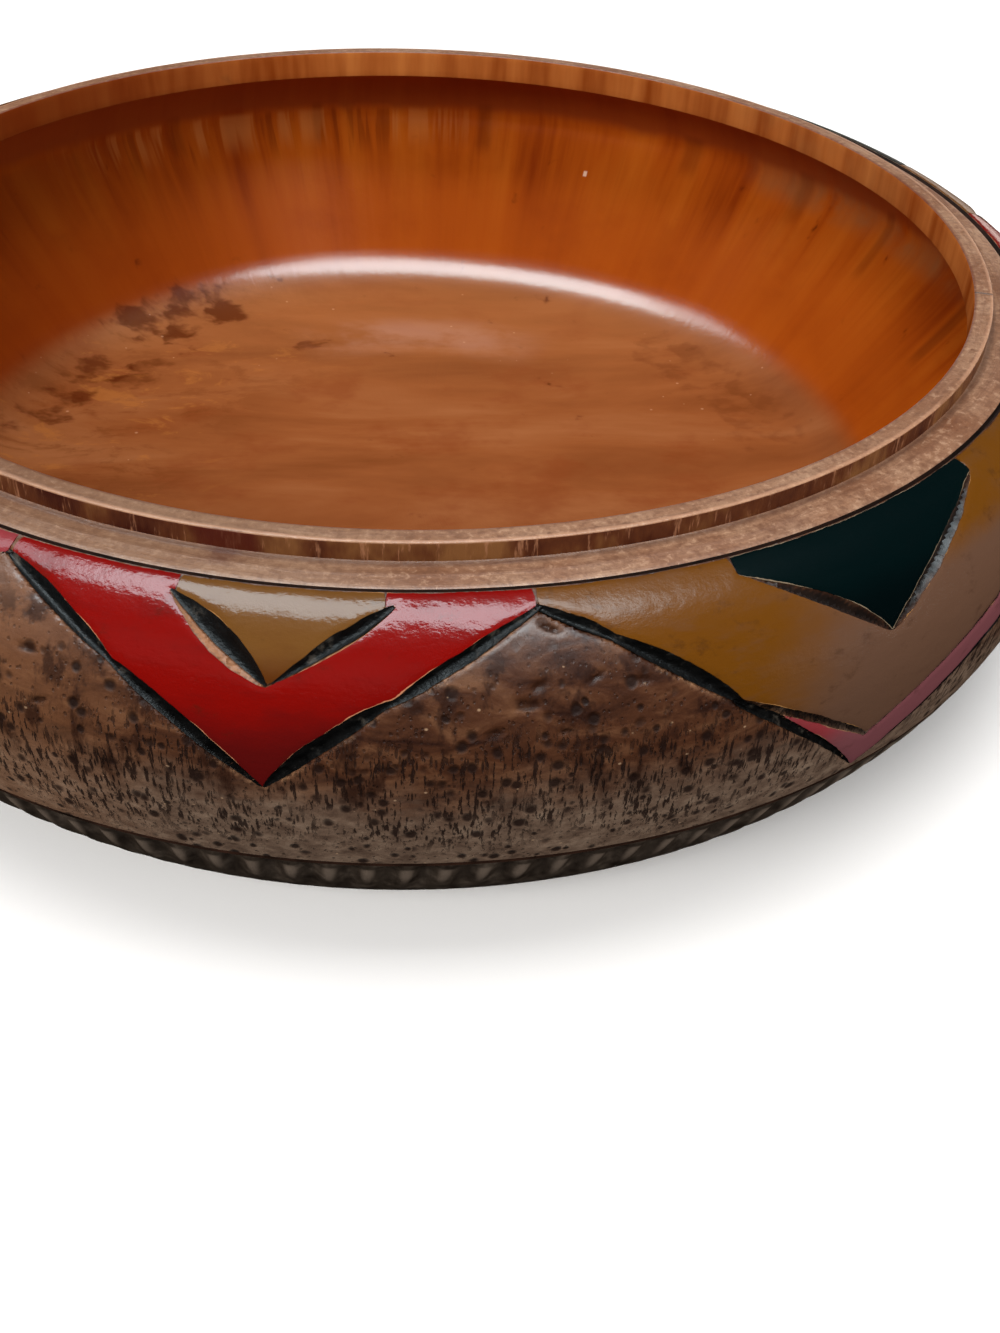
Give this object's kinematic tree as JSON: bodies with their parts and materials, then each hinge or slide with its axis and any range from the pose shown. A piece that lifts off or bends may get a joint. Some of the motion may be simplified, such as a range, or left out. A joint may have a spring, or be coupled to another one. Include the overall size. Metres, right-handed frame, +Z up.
{
  "type": "turned wooden bowl",
  "caption": "Shallow turned wooden bowl with an undercut rim, a stepped lid seat, carved and painted chevrons, and a foot band of carved notches.",
  "frame": {"origin": "centre of the base, on the surface that the bowl stands on", "axes": "+Z up the turning axis, -Y towards the front, +X to the right seen from the front"},
  "size_m": [0.2476, 0.2476, 0.06],
  "materials": {
    "turned_wood": "dark open-grained wood, stained and waxed, worn paler on the rim",
    "red_paint": "glossy red paint over wood",
    "ochre_paint": "satin ochre paint over wood",
    "mustard_paint": "satin mustard paint over wood",
    "mauve_paint": "satin dull mauve paint over wood",
    "teal_paint": "glossy near-black teal paint over wood",
    "black_paint": "dull black paint in the carved cuts"
  },
  "bodies": {
    "root": {"bowl_block": "turned_wood", "red_chevron_1": "red_paint", "red_chevron_2": "red_paint", "red_chevron_3": "red_paint", "red_chevron_4": "red_paint", "ochre_triangle_1": "ochre_paint", "ochre_triangle_2": "ochre_paint", "ochre_triangle_3": "ochre_paint", "ochre_triangle_4": "ochre_paint", "mustard_chevron_1": "mustard_paint", "mustard_chevron_2": "mustard_paint", "mustard_chevron_3": "mustard_paint", "mustard_chevron_4": "mustard_paint", "mauve_edging_1": "mauve_paint", "mauve_edging_2": "mauve_paint", "mauve_edging_3": "mauve_paint", "mauve_edging_4": "mauve_paint", "teal_triangle_1": "teal_paint", "teal_triangle_2": "teal_paint", "teal_triangle_3": "teal_paint", "teal_triangle_4": "teal_paint", "red_black_left_1": "black_paint", "red_black_left_2": "black_paint", "red_black_left_3": "black_paint", "red_black_left_4": "black_paint", "red_black_right_1": "black_paint", "red_black_right_2": "black_paint", "red_black_right_3": "black_paint", "red_black_right_4": "black_paint", "ochre_black_left_1": "black_paint", "ochre_black_left_2": "black_paint", "ochre_black_left_3": "black_paint", "ochre_black_left_4": "black_paint", "ochre_black_right_1": "black_paint", "ochre_black_right_2": "black_paint", "ochre_black_right_3": "black_paint", "ochre_black_right_4": "black_paint", "mustard_black_1": "black_paint", "mustard_black_2": "black_paint", "mustard_black_3": "black_paint", "mustard_black_4": "black_paint", "mauve_black_left_1": "black_paint", "mauve_black_left_2": "black_paint", "mauve_black_left_3": "black_paint", "mauve_black_left_4": "black_paint", "mauve_black_right_1": "black_paint", "mauve_black_right_2": "black_paint", "mauve_black_right_3": "black_paint", "mauve_black_right_4": "black_paint"}
  },
  "joints": []
}
